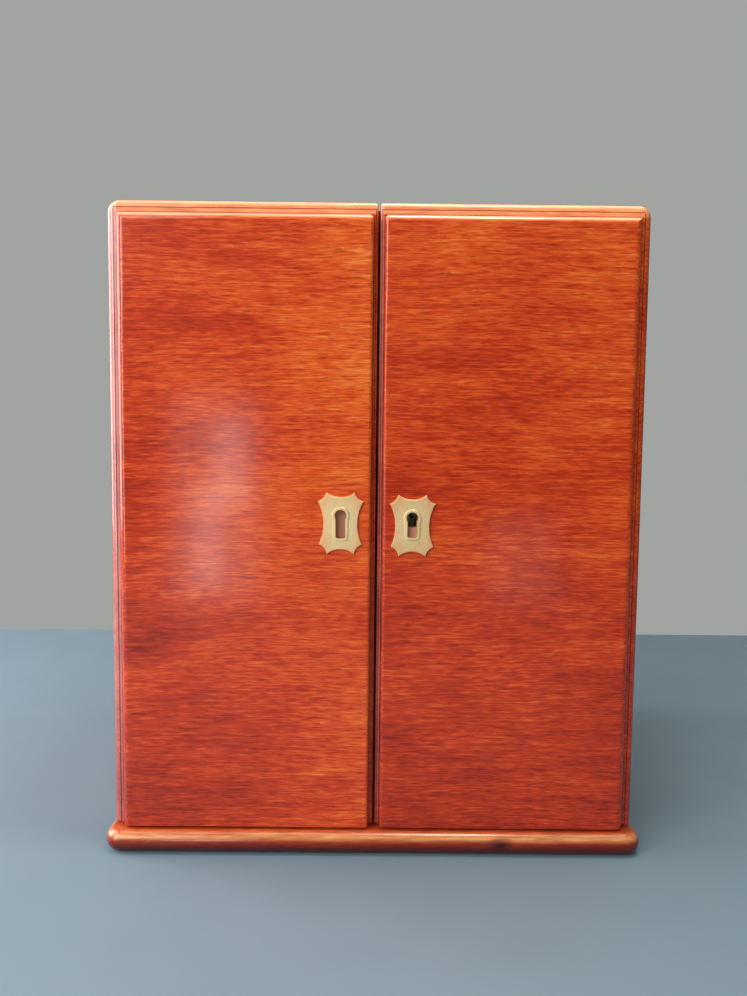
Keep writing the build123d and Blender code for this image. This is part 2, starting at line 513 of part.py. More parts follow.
ON_FOOT = Plane.XY.offset(BASE_TOP + BRACKET_FOOT)
with BuildPart() as right_bracket:
    with BuildSketch(outward(BRACKET_X)):
        with BuildLine():
            rise = PIVOT_Z - BASE_TOP
            shoulder, drop = 9.0 * math.sin(math.radians(80)), 9.0 * math.cos(math.radians(80))
            waist = PIVOT_Z - 0.55 * rise
            for s in (-1, 1):
                ThreePointArc(
                    (PIVOT_Y + s * shoulder, PIVOT_Z - drop), (PIVOT_Y + s * 10.5, waist),
                    (PIVOT_Y + s * 22.0, BASE_TOP),
                )
            ThreePointArc(
                (PIVOT_Y - shoulder, PIVOT_Z - drop), (PIVOT_Y, PIVOT_Z + 9.0), (PIVOT_Y + shoulder, PIVOT_Z - drop)
            )
            Line((PIVOT_Y - 22.0, BASE_TOP), (PIVOT_Y + 22.0, BASE_TOP))
        make_face()
    extrude(amount=BRACKET)
    block(80, BRACKET_X + 0.5, PIVOT_Y - 22, PIVOT_Y + 22, BASE_TOP, BASE_TOP + BRACKET_FOOT)
    rod("X", (BRACKET_X, PIVOT_Y, PIVOT_Z), STUD + PLAY, 12, Mode.SUBTRACT)
    screw_holes(ON_FOOT, BRACKET_SCREWS[2:], 2.2, 1.2, 8.0)

with BuildPart() as left_bracket:
    mirror(right_bracket.part, about=Plane.YZ)

with BuildPart() as bracket_screws:
    screws(ON_FOOT, BRACKET_SCREWS, 2.2, 1.2, 7.5)

# ---------------------------------------------------------------- stereoscope: body
with BuildPart() as right_cheek:
    block(BODY_HALF - WALL, BODY_HALF, BODY_FRONT, BODY_BACK, BODY_LOW, BODY_HIGH)
    fillet(right_cheek.edges().filter_by(Axis.X).group_by(Axis.Y)[0], 3)
    block(BODY_HALF - WALL, BODY_HALF, CARD_Y, CARD_Y + CARD_GAP, IN_LOW, IN_HIGH, Mode.SUBTRACT)
    rod("X", (BODY_HALF, SHAFT_Y, SHAFT_Z), SHAFT_R + PLAY, 30, Mode.SUBTRACT)

with BuildPart() as left_cheek:
    mirror(right_cheek.part, about=Plane.YZ)

with BuildPart() as viewer_floor:
    block(-IN_HALF, IN_HALF, BODY_FRONT + 3, BODY_BACK, BODY_LOW, IN_LOW)

with BuildPart() as viewer_roof:
    block(-IN_HALF, IN_HALF, BODY_FRONT + 3, BODY_BACK, IN_HIGH, BODY_HIGH)
    block(
        -APERTURE_HALF, APERTURE_HALF, APERTURE_FRONT, APERTURE_BACK, IN_HIGH, BODY_HIGH, Mode.SUBTRACT,
    )

with BuildPart() as septum:
    block(-1.5, 1.5, PIVOT_Y - 24, CARD_Y - 3.0, IN_LOW, IN_HIGH)
    fillet(septum.edges().filter_by(Axis.Z).group_by(Axis.Y)[0], 1.2)

with BuildPart() as card_mask:
    block(-IN_HALF, IN_HALF, CARD_Y - 3.0, CARD_Y, IN_LOW, IN_HIGH)
    block(-IN_HALF + 8, IN_HALF - 8, CARD_Y - 3.0, CARD_Y, IN_LOW + 6, IN_HIGH - 6, Mode.SUBTRACT)

GLASS_Y = CARD_Y + CARD_GAP + 2.0
with BuildPart() as glass_frame:
    block(-IN_HALF, IN_HALF, CARD_Y + CARD_GAP, BODY_BACK, IN_LOW, IN_HIGH)
    block(-IN_HALF + 5, IN_HALF - 5, CARD_Y, BODY_BACK, IN_LOW + 4, IN_HIGH - 4, Mode.SUBTRACT)
    block(-IN_HALF + 3, IN_HALF - 3, GLASS_Y, GLASS_Y + 2, IN_LOW + 2, IN_HIGH - 2, Mode.SUBTRACT)

with BuildPart() as ground_glass:
    block(-IN_HALF + 3, IN_HALF - 3, GLASS_Y, GLASS_Y + 2, IN_LOW + 2, IN_HIGH - 2)

with BuildPart() as card_springs:
    low, high, y = PIVOT_Z - 30.0, PIVOT_Z + 30.0, CARD_Y + CARD_GAP
    for x in (-IN_HALF + 0.6, IN_HALF - 4.6):
        with BuildSketch(outward(x)):
            with BuildLine():
                ThreePointArc((y, low), (y - 1.6, PIVOT_Z), (y, high))
                Line((y, high), (y - 0.35, high))
                ThreePointArc((y - 0.35, high), (y - 1.95, PIVOT_Z), (y - 0.35, low))
                Line((y - 0.35, low), (y, low))
            make_face()
        extrude(amount=4)

with BuildPart() as trunnions:
    for s in (-1, 1):
        rod("X", (s * (BODY_HALF + 0.6), PIVOT_Y, PIVOT_Z), 13.0, 1.2)
        rod("X", (s * (BODY_HALF + 6.5), PIVOT_Y, PIVOT_Z), STUD, 13.0)

with BuildPart() as tilt_knobs:
    fluted_knob(BRACKET_X + BRACKET + 1.5, 9.0, 6.0, STUD, PIVOT_Y, PIVOT_Z, 40)
    mirror(about=Plane.YZ)

# ---------------------------------------------------------------- stereoscope: lens carriage
with BuildPart() as lens_board:
    block(
        -IN_HALF + SLIDING_GAP, IN_HALF - SLIDING_GAP, LENS_FRONT, LENS_FRONT + LENS_BOARD,
        IN_LOW + SLIDING_GAP, IN_HIGH - SLIDING_GAP,
    )
    for s in (-1, 1):
        rod("Y", (s * EYE_SPACING / 2, LENS_FRONT, PIVOT_Z), TUBE_R, 40, Mode.SUBTRACT)

with BuildPart() as eyepiece_tubes:
    for s in (-1, 1):
        with BuildSketch(eye_plane(s)):
            with BuildLine():
                Polyline(
                    (LENS_R + 0.2, -LENS_BOARD), (TUBE_R, -LENS_BOARD), (TUBE_R, 0), (FLANGE_R, 0),
                    (FLANGE_R, 1.4), (FLANGE_R - 0.6, 2), (TUBE_R, 2), (TUBE_R, 16), (TUBE_R - 1, 17),
                    (LENS_R + 0.2, 17), (LENS_R + 0.2, 5.8), (LENS_R - 1.5, 5.8), (LENS_R - 1.5, 4),
                    (LENS_R + 0.2, 4), close=True,
                )
            make_face()
        revolve(axis=eye_axis(s))

with BuildPart() as eye_cups:
    for s in (-1, 1):
        with BuildSketch(eye_plane(s)):
            with BuildLine():
                Polyline((TUBE_R + 1.6, 7), (TUBE_R, 7), (TUBE_R, 17), (LENS_R + 0.6, 17))
                ThreePointArc((LENS_R + 0.6, 17), (LENS_R + 1.6, 21), (TUBE_R + 1.6, 24))
                ThreePointArc((TUBE_R + 1.6, 24), (TUBE_R + 2.6, 24.4), (TUBE_R + 3.2, 23.6))
                ThreePointArc((TUBE_R + 3.2, 23.6), (TUBE_R + 2.0, 15), (TUBE_R + 1.6, 7))
            make_face()
        revolve(axis=eye_axis(s))

with BuildPart() as lenses:
    back, front = ((LENS_R**2 + sag**2) / (2 * sag) for sag in (2.2, 2.8))  # radii of the two faces
    for s in (-1, 1):
        with BuildSketch(eye_plane(s)):
            with BuildLine():
                Line((0, 11.6), (0, 4.0))
                CenterArc((0, 4.0 + back), back, -90, math.degrees(math.asin(LENS_R / back)))
                Line((LENS_R, 6.2), (LENS_R, 8.8))
                CenterArc((0, 11.6 - front), front, 90, -math.degrees(math.asin(LENS_R / front)))
            make_face()
        revolve(axis=eye_axis(s))

with BuildPart() as lens_rings:
    for s in (-1, 1):
        with BuildSketch(eye_plane(s)):
            with BuildLine():
                Polyline(
                    (LENS_R - 1.4, 9.5), (LENS_R + 0.2, 9.0), (LENS_R + 0.2, 11.6), (LENS_R - 0.8, 11.6),
                    close=True,
                )
            make_face()
        revolve(axis=eye_axis(s))

with BuildPart() as focus_racks:
    for s in (-1, 1):
        x0 = s * RACK_X - RACK_WIDTH / 2
        block(x0, x0 + RACK_WIDTH, LENS_FRONT + LENS_BOARD, RACK_BACK, PITCH_Z + 0.9, PITCH_Z + 4.5)
        with BuildSketch(outward(x0)):
            for n in range(-4, 8):
                y, root, tip = SHAFT_Y + (n + 0.5) * PITCH, PITCH_Z + 1.0, PITCH_Z - 0.65
                with BuildLine():
                    Polyline(
                        (y - TOOTH / 2 - 0.35, root), (y - TOOTH / 2 + 0.24, tip),
                        (y + TOOTH / 2 - 0.24, tip), (y + TOOTH / 2 + 0.35, root), close=True,
                    )
                make_face()
        extrude(amount=RACK_WIDTH)

with BuildPart() as focus_shaft:
    rod("X", (0, SHAFT_Y, SHAFT_Z), SHAFT_R, 2 * (BODY_HALF + 7.5))
    root, middle, tip = PITCH_R - 0.95, PITCH_R, PITCH_R + 0.65
    for s in (-1, 1):
        with BuildSketch(outward(s * RACK_X - RACK_WIDTH / 2 - 0.5)):
            with Locations((SHAFT_Y, SHAFT_Z)):
                Circle(root)
            for n in range(TEETH):
                turn = math.radians(90 + n * 360 / TEETH)
                corners = [
                    (root - 0.3, -TOOTH / 2 - 0.02), (middle, -TOOTH / 2 + 0.06), (tip, -0.24),
                    (tip, 0.24), (middle, TOOTH / 2 - 0.06), (root - 0.3, TOOTH / 2 + 0.02),
                ]
                with BuildLine():
                    Polyline(
                        [
                            (
                                SHAFT_Y + r * math.cos(turn) - w * math.sin(turn),
                                SHAFT_Z + r * math.sin(turn) + w * math.cos(turn),
                            )
                            for r, w in corners
                        ],
                        close=True,
                    )
                make_face()
        extrude(amount=RACK_WIDTH + 1)

with BuildPart() as focus_knobs:
    fluted_knob(BODY_HALF + 1.7, 8.5, 5.0, SHAFT_R, SHAFT_Y, SHAFT_Z, 36)
    mirror(about=Plane.YZ)

# ---------------------------------------------------------------- stereoscope: mirror flap
with BuildPart() as flap_hinge_lugs:
    for s in (-1, 1):
        for dx in (-LUG - 0.3, LUG + 0.3):
            x = s * LUG_X + dx
            block(x - LUG / 2, x + LUG / 2, FLAP_Y - 9, FLAP_Y, BODY_HIGH, BODY_HIGH + 1.2)
            rod("X", (x, FLAP_Y, FLAP_Z), FLAP_BARREL, LUG)
        rod("X", (s * LUG_X, FLAP_Y, FLAP_Z), 0.9, 3 * LUG + 0.6)

with BuildPart() as flap_hinge_straps:
    for x in (-LUG_X, LUG_X):
        block(x - LUG / 2, x + LUG / 2, FLAP_Y, FLAP_Y + 14, FLAP_LOW + FLAP, FLAP_LOW + FLAP + 1.0)
        block(x - LUG / 2, x + LUG / 2, FLAP_Y, FLAP_Y + 1.4, FLAP_Z, FLAP_LOW + FLAP + 1.0)
        rod("X", (x, FLAP_Y, FLAP_Z), FLAP_BARREL, LUG)
        rod("X", (x, FLAP_Y, FLAP_Z), 0.9 + PLAY, LUG + 2, Mode.SUBTRACT)

with BuildPart() as mirror_flap:
    y0 = FLAP_Y + FLAP_BARREL + 0.5
    block(-FLAP_HALF, FLAP_HALF, y0, y0 + FLAP_LENGTH, FLAP_LOW, FLAP_LOW + FLAP)
    chamfer(mirror_flap.faces().sort_by(Axis.Z)[-1].edges().sort_by(Axis.Y)[1:], 1.2)

with BuildPart() as mirror_glass:
    block(
        -APERTURE_HALF + 2, APERTURE_HALF - 2, APERTURE_FRONT + 1.5, APERTURE_BACK - 1.5,
        FLAP_LOW - 2, FLAP_LOW,
    )

with BuildPart() as flap_knob:
    knob_y, knob_z = FLAP_Y + FLAP_LENGTH - 6, FLAP_LOW + FLAP
    rod("Z", (0, knob_y, knob_z + 1.5), 1.4, 3.0)
    with Locations((0, knob_y, knob_z + 4.4)):
        Sphere(2.6)

# ---------------------------------------------------------------- all pieces
pieces = {
    "plinth": plinth, "plinth_screws": plinth_screws, "floor_board": floor_board, "top_board": top_board,
    "back_panel": back_panel, "right_side": right_side, "left_side": left_side, "shelf": shelf,
    "rack_partitions": rack_partitions, "frame_hinge_leaves": frame_hinge_leaves,
    "frame_hinge_screws": frame_hinge_screws, "hinge_pins": hinge_pins, "right_door": right_door,
    "right_door_leaves": right_door_leaves, "right_door_screws": right_door_screws,
    "right_escutcheon": right_escutcheon, "left_door": left_door, "left_door_leaves": left_door_leaves,
    "left_door_screws": left_door_screws, "left_escutcheon": left_escutcheon, "lock_case": lock_case,
    "lock_cap": lock_cap, "lock_screws": lock_screws, "lock_bolt": lock_bolt,
    "lock_tumbler": lock_tumbler, "strike_plate": strike_plate, "slide_bolt_plates": slide_bolt_plates,
    "slide_bolt_screws": slide_bolt_screws, "upper_slide_bolt": upper_slide_bolt,
    "lower_slide_bolt": lower_slide_bolt, "bolt_keepers": bolt_keepers, "viewer_base": viewer_base,
    "base_guides": base_guides, "right_bracket": right_bracket, "left_bracket": left_bracket,
    "bracket_screws": bracket_screws, "right_cheek": right_cheek, "left_cheek": left_cheek,
    "viewer_floor": viewer_floor, "viewer_roof": viewer_roof, "septum": septum, "card_mask": card_mask,
    "glass_frame": glass_frame, "ground_glass": ground_glass, "card_springs": card_springs,
    "trunnions": trunnions, "tilt_knobs": tilt_knobs, "lens_board": lens_board,
    "eyepiece_tubes": eyepiece_tubes, "eye_cups": eye_cups, "lenses": lenses, "lens_rings": lens_rings,
    "focus_racks": focus_racks, "focus_shaft": focus_shaft, "focus_knobs": focus_knobs,
    "flap_hinge_lugs": flap_hinge_lugs, "flap_hinge_straps": flap_hinge_straps,
    "mirror_flap": mirror_flap, "mirror_glass": mirror_glass, "flap_knob": flap_knob,
}
for name, piece in pieces.items():
    piece.part.label = name
    export_step(piece.part, f"parts/{name}.step")
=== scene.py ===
import math

import bmesh
import bpy
from bpy.props import FloatProperty, FloatVectorProperty, PointerProperty
from mathutils import Matrix, Vector


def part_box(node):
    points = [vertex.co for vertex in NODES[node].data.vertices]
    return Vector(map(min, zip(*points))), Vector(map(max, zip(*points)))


bl_info = {
    "name": "Cabinet Stereoscope",
    "version": (1, 0, 0),
    "blender": (4, 5, 0),
    "location": "View3D > Sidebar > Cabinet",
    "description": "A mahogany table cabinet with moulded doors that holds a stereo viewer",
    "category": "Object",
}

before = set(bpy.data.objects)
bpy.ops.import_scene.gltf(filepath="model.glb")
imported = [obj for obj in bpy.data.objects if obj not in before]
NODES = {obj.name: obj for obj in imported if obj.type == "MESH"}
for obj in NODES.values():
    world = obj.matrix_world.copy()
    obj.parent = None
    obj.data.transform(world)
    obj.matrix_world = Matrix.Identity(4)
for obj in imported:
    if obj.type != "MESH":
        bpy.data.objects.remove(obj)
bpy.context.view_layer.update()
FACE_Y = min(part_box("right_door")[0].y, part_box("left_door")[0].y)  # the doors' front faces

# Colours that wear and dirt turn the surfaces to, and the colours of painted light and shade
# Wood rubbed pale, also used as painted top light on upward-facing edges
RUBBED_AND_TOPLIT_WOOD = (0.80, 0.36, 0.13)
KEYHOLE_DUST = (0.42, 0.24, 0.15)
# Painted highlight on the doors' top moulding
PAINTED_TOP_HIGHLIGHT = (0.86, 0.42, 0.19)
# Painted reflection on the doors' side mouldings
PAINTED_SIDE_REFLECTION = (0.78, 0.56, 0.52)
COPPERY = (0.95, 0.50, 0.22)
# Painted shade inside the keyhole
PAINTED_KEYHOLE_SHADE = (0.02, 0.016, 0.012)

# Depths behind the doors' faces, in metres
DUST_DEPTH = 0.0006
# How deep behind the faces the painted moulding highlight and reflection reach
PAINTED_HIGHLIGHT_DEPTH = 0.0065

TOP_HIGHLIGHT_HEIGHT = 0.0066  # of the doors' top moulding that carries a painted highlight
UNSHADED_CAP = 0.0011  # how thick the back of the lock's cap is that keeps its colour: the rest, in the keyhole, is painted black shade

GRAIN_STOPS = (0.0, 0.38, 0.66, 1.0)  # where the four tones of the wood lie
POLISH = {"coat_roughness": 0.12, "coat_ior": 1.5, "specular_ior_level": 0.1}
DOOR_POLISH = 0.8  # the thickness of the coat on everything outside


# ---------------------------------------------------------------- shader nodes
class Reading:
    """An output of a node, so that arithmetic on it adds Math nodes."""

    def __init__(self, finish, socket):
        self.finish, self.socket = finish, socket

    def _math(self, operation, *values, clamp=False):
        settings = {"operation": operation, "use_clamp": clamp}
        return self.finish.node("ShaderNodeMath", settings, dict(enumerate(values)))["Value"]

    def __add__(self, other):
        return self._math("ADD", self, other)

    __radd__ = __add__

    def __sub__(self, other):
        return self._math("SUBTRACT", self, other)

    def __rsub__(self, other):
        return self._math("SUBTRACT", other, self)

    def __mul__(self, other):
        return self._math("MULTIPLY", self, other)

    __rmul__ = __mul__

    def __truediv__(self, other):
        return self._math("DIVIDE", self, other)

    def clamped(self):
        return self._math("ADD", self, 0.0, clamp=True)

    def above(self, level, softness):
        """0 below that level and 1 above it, with a soft edge."""
        return self._math("DIVIDE", self - (level - softness / 2), softness, clamp=True)

    def near(self, level, width):
        """1 at that level, falling to 0 a width away on either side."""
        gap = self._math("ABSOLUTE", self - level)
        return self._math("SUBTRACT", 1.0, gap / width, clamp=True)


class Outputs(dict):
    """The outputs of a node by name, each a Reading."""


class Finish:
    """A material made of nodes, with one principled shader."""

    def __init__(self, name, **constants):
        self.material = bpy.data.materials.new(name)
        self.material.use_nodes = True
        self.tree = self.material.node_tree
        self.tree.nodes.clear()
        self.shader = self.tree.nodes.new("ShaderNodeBsdfPrincipled")
        output = self.tree.nodes.new("ShaderNodeOutputMaterial")
        self.tree.links.new(self.shader.outputs["BSDF"], output.inputs["Surface"])
        for socket, value in constants.items():
            self.set(self.shader, socket.replace("_", " ").title().replace("Ior", "IOR"), value)

    def set(self, node, socket, value):
        if isinstance(value, Reading):
            self.tree.links.new(value.socket, node.inputs[socket])
        else:
            node.inputs[socket].default_value = value

    def shade(self, socket, value):
        self.set(self.shader, socket, value)

    def node(self, kind, settings=None, values=None):
        """Adds a node: its settings first, then the values or links of its sockets."""
        made = self.tree.nodes.new(kind)
        for name, setting in (settings or {}).items():
            if name == "stops":
                for n, (place, colour) in enumerate(setting):
                    stop = made.color_ramp.elements[n] if n < 2 else made.color_ramp.elements.new(place)
                    stop.position, stop.color = place, (*colour, 1.0)
            else:
                setattr(made, name, setting)
        for socket, value in (values or {}).items():
            self.set(made, socket, value)
        return Outputs((output.name, Reading(self, output)) for output in made.outputs if output.enabled)

    def place(self):
        """Where the surface is, in the cabinet's own coordinates."""
        return self.node("ShaderNodeTexCoord")["Object"]

    def noise(self, size, stretch=(1, 1, 1), detail=2.0, roughness=0.5, shift=(0, 0, 0), place=None):
        """Noise whose lumps are about that big, in metres, and longer along the stretched axes."""
        scale = [1 / (size * s) for s in stretch]
        values = {"Vector": place or self.place(), "Scale": scale, "Location": shift}
        scaled = self.node("ShaderNodeMapping", values=values)["Vector"]
        values = {"Vector": scaled, "Scale": 1.0, "Detail": detail, "Roughness": roughness}
        return self.node("ShaderNodeTexNoise", values=values)["Fac"]

    def spot(self, centre, scale, radius, soft=0.0002):
        """1 within that radius of a place, fading over soft, in which each axis counts by its scale."""
        kind = "ShaderNodeVectorMath"
        offset = self.node(kind, {"operation": "SUBTRACT"}, {0: self.place(), 1: centre})["Vector"]
        scaled = self.node(kind, {"operation": "MULTIPLY"}, {0: offset, 1: scale})["Vector"]
        distance = self.node(kind, {"operation": "LENGTH"}, {0: scaled})["Value"]
        return 1 - distance.above(radius, soft)

    def blend(self, factor, a, b):
        """Mixes two colours."""
        made = self.tree.nodes.new("ShaderNodeMix")
        made.data_type = "RGBA"
        for n, value in ((0, factor), (6, a), (7, b)):
            if isinstance(value, tuple):
                value = (*value, 1.0)
            self.set(made, n, value)
        return Reading(self, made.outputs[2])

    def bump(self, height, strength, distance):
        values = {"Height": height, "Strength": strength, "Distance": distance}
        self.shade("Normal", self.node("ShaderNodeBump", values=values)["Normal"])


def put_on(finish, *names):
    """Gives CAD nodes that finish."""
    for name in names:
        materials = NODES[name].data.materials
        materials.clear()
        materials.append(finish.material)


def centre_of(name):
    """The middle of a CAD node's box."""
    low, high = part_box(name)
    return tuple((low + high) / 2)


# ---------------------------------------------------------------- finishes
def mahogany(name, grain, tones, gloss, roughness, seed=0.0, middle=0.5, light_lean=(0.0, 0.0), wear_and_top_light=0.0, shade_height=None,
             keyhole=None, moulding=None, bruise=None):
    """Polished mahogany: broad ribbon figure, fine streaks along the grain, short dark pores, and highs that
    are rubbed and carry painted top light.

    The tones run from the deepest to the lightest, and middle is the usual one. The wood lightens along X and
    Z at the given slopes, a painted fall of light; on edges that face upwards it is rubbed pale and painted
    with top light, by the given amount; it is painted with shade below a given height near the floor; it has
    dust in the recess of its keyhole, and is dark where it is bruised. Its moulding carries a painted
    highlight above one height, with thinner polish there, and a painted reflection left of one X by that
    amount."""
    finish = Finish(name, coat_weight=gloss, **POLISH)

    def stretch(length):
        return [length if axis == grain else 1.0 for axis in "XYZ"]

    place = finish.place()
    axes = finish.node("ShaderNodeSeparateXYZ", values={"Vector": place})
    drift = finish.noise(0.05, stretch(2.0), 1.0, shift=(seed, 0, seed)) * 0.006
    sway = finish.node("ShaderNodeCombineXYZ", values=dict.fromkeys("XYZ", drift))["Vector"]
    swayed = finish.node("ShaderNodeVectorMath", {"operation": "ADD"}, {0: place, 1: sway})["Vector"]
    ribbon = finish.noise(0.030, stretch(2.6), 2.0, shift=(seed, seed, 0), place=swayed) - 0.5
    figure = finish.noise(0.0075, stretch(7.0), 2.0, shift=(0, seed, 0), place=swayed) - 0.5
    streaks = finish.noise(0.0019, stretch(8.0), 2.0, 0.55, (0, seed, 0), swayed) - 0.5
    fibres = finish.noise(0.00075, stretch(9.0), 2.0, 0.5, (seed, 0, 0), swayed) - 0.5
    threads = finish.noise(0.0009, stretch(40.0), 1.0, 0.5, (seed, 0, 3), swayed) - 0.5
    pores = finish.noise(0.0007, stretch(9.0), 1.0, 0.5, (5 + seed, 0, 0), swayed).above(0.64, 0.08)
    # A painted fall of light: the wood lightens along X and Z at the given slopes
    slope = axes["X"] * light_lean[0] + axes["Z"] * light_lean[1]
    grain_tone = streaks * 0.45 + fibres * 0.95 + threads * 0.6
    tone = (ribbon * 0.65 + figure * 0.4 + grain_tone + slope + middle).clamped()
    stops = list(zip(GRAIN_STOPS, tones))
    colour = finish.node("ShaderNodeValToRGB", {"stops": stops}, {"Fac": tone})["Color"]
    dark = tuple(c * 0.35 for c in tones[0])
    colour = finish.blend(pores * 0.35, colour, dark)
    normal = finish.node("ShaderNodeTexCoord")["Normal"]
    upward = finish.node("ShaderNodeSeparateXYZ", values={"Vector": normal})["Z"]
    # Edges that face upwards are rubbed pale and painted lighter: wear together with a painted highlight of
    # the light from above
    rubbed = upward.near(0.62, 0.42) * (streaks + 0.5) * 2.2
    colour = finish.blend(rubbed * wear_and_top_light, colour, RUBBED_AND_TOPLIT_WOOD)
    # Painted shade: the wood turns dark near the floor, below the given height
    if shade_height:
        colour = finish.blend(axes["Z"].above(shade_height, shade_height), dark, colour)
    if keyhole:
        recess = axes["Y"].above(FACE_Y + DUST_DEPTH, 0.0002)
        dust = finish.spot(keyhole, (1, 0, 0.42), 0.0036) * recess
        colour = finish.blend(dust * 0.85, colour, KEYHOLE_DUST)
    # Painted highlight on the top moulding, with thinner polish under it, and painted reflection on the side
    # moulding, stronger higher up
    if moulding:
        height, left, amount = moulding
        front = 1 - axes["Y"].above(FACE_Y + PAINTED_HIGHLIGHT_DEPTH, 0.004)
        top_highlight = axes["Z"].above(height, 0.0008) * (streaks + 0.75) * front
        at_side = (0 - axes["X"]).above(-left, 0.0008)
        more_above = axes["Z"] * 2 + 0.25
        side_reflection = at_side * more_above * (ribbon + 0.7) * front * amount
        colour = finish.blend(top_highlight, colour, PAINTED_TOP_HIGHLIGHT)
        colour = finish.blend(side_reflection, colour, PAINTED_SIDE_REFLECTION)
        finish.shade("Coat Weight", gloss - top_highlight * 0.6)
    if bruise:
        dent = finish.spot(bruise, (0.5, 0, 1.1), 0.0025, 0.004) * (fibres + 0.9)
        colour = finish.blend(dent, colour, tuple(c * 0.4 for c in dark))
    finish.shade("Base Color", colour)
    finish.shade("Roughness", roughness + streaks * 0.3)
    finish.bump(streaks * 0.8 - pores * 0.5, 0.3, 0.0001)
    return finish


def lacquered_brass(name, bright, dull, roughness, metal=1.0, painted_shade_before=None, middle=None):
    """Brass under old lacquer: cloudy, with darker flecks, coppery away from its middle, and painted with
    black shade where it lies in front of that depth."""
    finish = Finish(name, metallic=metal)
    clouds = finish.noise(0.009, detail=4.0, roughness=0.6)
    flecks = finish.noise(0.0012, detail=3.0, shift=(3, 1, 2)).above(0.66, 0.08)
    colour = finish.blend(clouds.above(0.52, 0.5), bright, dull)
    colour = finish.blend(flecks * 0.35, colour, tuple(c * 0.5 for c in dull))
    if middle:
        coppery = (1 - finish.spot(middle, (1.3, 0, 0.85), 0.0120, 0.007)) * (clouds + 0.35)
        colour = finish.blend(coppery, colour, COPPERY)
    # Painted shade: black where the metal lies in the keyhole
    if painted_shade_before:
        depth = finish.node("ShaderNodeSeparateXYZ", values={"Vector": finish.place()})["Y"]
        colour = finish.blend(depth.above(painted_shade_before, 0.0004), PAINTED_KEYHOLE_SHADE, colour)
    finish.shade("Base Color", colour)
    finish.shade("Roughness", roughness + clouds * 0.16)
    finish.bump(finish.noise(0.0007, detail=2.0), 0.12, 0.00005)
    return finish


def bright_steel():
    """Steel with faint grey clouds."""
    finish = Finish("bright_steel", metallic=1.0)
    clouds = finish.noise(0.004, detail=4.0)
    finish.shade("Base Color", finish.blend(clouds.above(0.5, 0.5), (0.56, 0.55, 0.53), (0.33, 0.31, 0.29)))
    finish.shade("Roughness", 0.28 + clouds * 0.2)
    return finish


def blackened_wood():
    """Wood stained black against stray light."""
    finish = Finish("blackened_wood", specular_ior_level=0.35)
    fibres = finish.noise(0.002, (6, 1, 1), 3.0)
    finish.shade("Base Color", finish.blend(fibres, (0.006, 0.005, 0.005), (0.026, 0.021, 0.018)))
    finish.shade("Roughness", 0.45 + fibres * 0.25)
    return finish


# ---------------------------------------------------------------- what a user may change
class CabinetWood(bpy.types.PropertyGroup):
    """The colours of the wood."""

    golden: FloatVectorProperty(
        name="Golden", description="Lightest streaks of the polished wood", subtype="COLOR", min=0, max=1,
        default=(0.80, 0.20, 0.036),
    )
    orange: FloatVectorProperty(
        name="Orange", description="Light grain of the polished wood", subtype="COLOR", min=0, max=1,
        default=(0.67, 0.088, 0.012),
    )
    red: FloatVectorProperty(
        name="Red", description="Middle grain of the polished wood", subtype="COLOR", min=0, max=1,
        default=(0.50, 0.037, 0.007),
    )
    deep: FloatVectorProperty(
        name="Deep", description="Deepest grain of the polished wood", subtype="COLOR", min=0, max=1,
        default=(0.25, 0.015, 0.004),
    )
    right_depth: FloatProperty(
        name="Right door, depth", description="How much deeper the right door's wood is than the left's",
        default=0.06, min=0, max=1, subtype="FACTOR",
    )
    case_depth: FloatProperty(
        name="Case, depth", description="How much deeper the case's wood is than the doors'",
        default=0.35, min=0, max=1, subtype="FACTOR",
    )
    inner_light: FloatVectorProperty(
        name="Inside, light", description="Light grain of the boards inside", subtype="COLOR", min=0, max=1,
        default=(0.42, 0.130, 0.048),
    )
    inner_deep: FloatVectorProperty(
        name="Inside, deep", description="Deep grain of the boards inside", subtype="COLOR", min=0, max=1,
        default=(0.20, 0.052, 0.020),
    )

    def polished(self, depth):
        """The polished wood's tones, from the deepest, and deeper by that much."""
        tones = [self.deep, self.red, self.orange, self.golden]
        return [tuple(c * (1 - depth * (0.6 + 0.3 * n)) for n, c in enumerate(tone)) for tone in tones]

    def bare(self):
        """The unpolished wood's tones, from the deepest."""
        light, deep = self.inner_light, self.inner_deep
        return [tuple(d + (c - d) * mix for c, d in zip(light, deep)) for mix in (-0.3, 0.2, 0.8, 1.3)]


class CabinetBrass(bpy.types.PropertyGroup):
    """The colours of the brass."""

    bright: FloatVectorProperty(
        name="Bright", description="Brass where it is rubbed", subtype="COLOR", min=0, max=1,
        default=(1.0, 0.77, 0.42),
    )
    dull: FloatVectorProperty(
        name="Dull", description="Brass where it has dulled", subtype="COLOR", min=0, max=1,
        default=(0.86, 0.60, 0.27),
    )


class CabinetStage(bpy.types.PropertyGroup):
    """The camera, the floor and the lights."""

    lens: FloatProperty(name="Lens", description="Focal length", default=27.0, min=10, max=200, unit="CAMERA")
    distance: FloatProperty(
        name="Distance", description="From the doors to the camera", default=0.3785, min=0.1, unit="LENGTH"
    )
    height: FloatProperty(
        name="Height", description="Of the camera above the floor", default=0.2135, unit="LENGTH"
    )
    tilt: FloatProperty(
        name="Tilt", description="How far the camera looks down", default=math.radians(4.1), subtype="ANGLE"
    )
    room_light: FloatProperty(
        name="Room", description="Brightness of the room that the polish mirrors", default=0.05, min=0
    )
    daylight: FloatProperty(name="Daylight", description="Strength of the even light", default=1.58, min=0)
    key_power: FloatProperty(
        name="Key light", description="Power of the soft key light", default=0.7, unit="POWER"
    )
    top_power: FloatProperty(
        name="Top light", description="Power of the overhead light", default=4.0, unit="POWER"
    )
    window_power: FloatProperty(
        name="Window", description="Power of the tall light at the left", default=10.0, unit="POWER"
    )
    glow_power: FloatProperty(
        name="Low light", description="Power of the small light mirrored in the left door", default=0.12,
        unit="POWER",
    )


